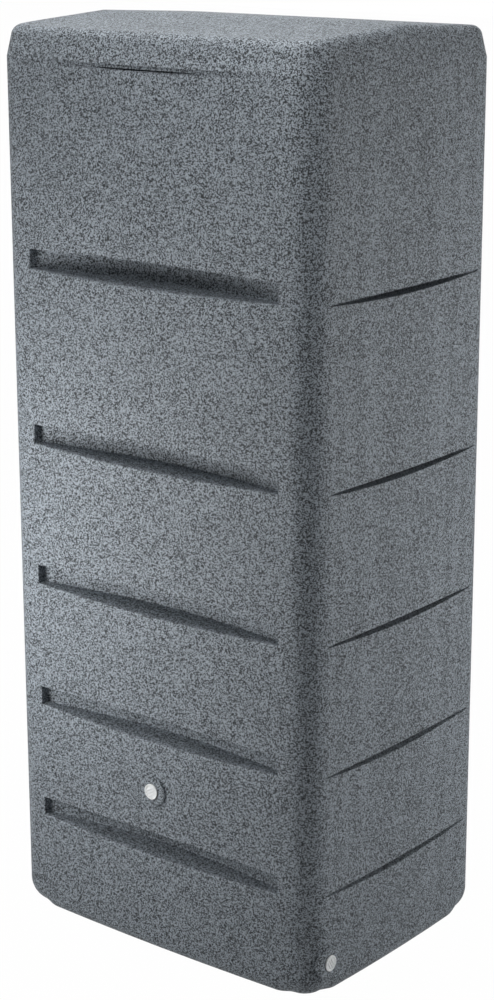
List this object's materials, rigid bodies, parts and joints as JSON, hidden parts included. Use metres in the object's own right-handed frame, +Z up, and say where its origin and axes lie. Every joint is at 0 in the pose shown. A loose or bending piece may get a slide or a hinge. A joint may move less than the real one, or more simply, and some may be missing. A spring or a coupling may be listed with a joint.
{
  "type": "rainwater tank",
  "caption": "Upright moulded rainwater tank for a house wall, with bowed recesses across its front and sides, a lift-off gabled lid and plugged threaded outlets.",
  "frame": {"origin": "middle of the flat base, on the ground", "axes": "+Z up; -Y is the front with an outlet, +Y the flat back that faces the wall, +X the side with the second outlet"},
  "size_m": [0.6418, 0.4831, 1.5],
  "materials": {
    "tank_plastic": "speckled granite grey, fine orange peel",
    "lid_plastic": "speckled granite grey, fine orange peel",
    "insert_brass": "machined",
    "plug_plastic": "satin moulded",
    "seal_rubber": "matt"
  },
  "bodies": {
    "tank": {"tank_body": "tank_plastic", "front_outlet_insert": "insert_brass", "side_outlet_insert": "insert_brass"},
    "lid": {"lid": "lid_plastic"},
    "front_seal": {"front_plug_seal": "seal_rubber"},
    "front_plug": {"front_outlet_plug": "plug_plastic"},
    "side_seal": {"side_plug_seal": "seal_rubber"},
    "side_plug": {"side_outlet_plug": "plug_plastic"}
  },
  "joints": [
    {"name": "lid_lift", "type": "slide", "parent": "tank", "child": "lid", "axis": [0, 0, 1], "range_m": [0, 0.1]},
    {"name": "front_seal_travel", "type": "slide", "parent": "tank", "child": "front_seal", "axis": [0, -1, 0], "range_m": [0, 0.012]},
    {"name": "front_plug_turn", "type": "hinge", "parent": "front_seal", "child": "front_plug", "pos_m": [0, -0.2425, 0.2884], "axis": [0, -1, 0], "range_deg": [0, 2376]},
    {"name": "side_seal_travel", "type": "slide", "parent": "tank", "child": "side_seal", "axis": [1, 0, 0], "range_m": [0, 0.012]},
    {"name": "side_plug_turn", "type": "hinge", "parent": "side_seal", "child": "side_plug", "pos_m": [0.3197, -0.1865, 0.064], "axis": [1, 0, 0], "range_deg": [0, 2376]}
  ],
  "couplings": [
    {"joint": "front_seal_travel", "follows": "front_plug_turn", "m_per_rad": 0.00028875},
    {"joint": "side_seal_travel", "follows": "side_plug_turn", "m_per_rad": 0.00028875}
  ]
}
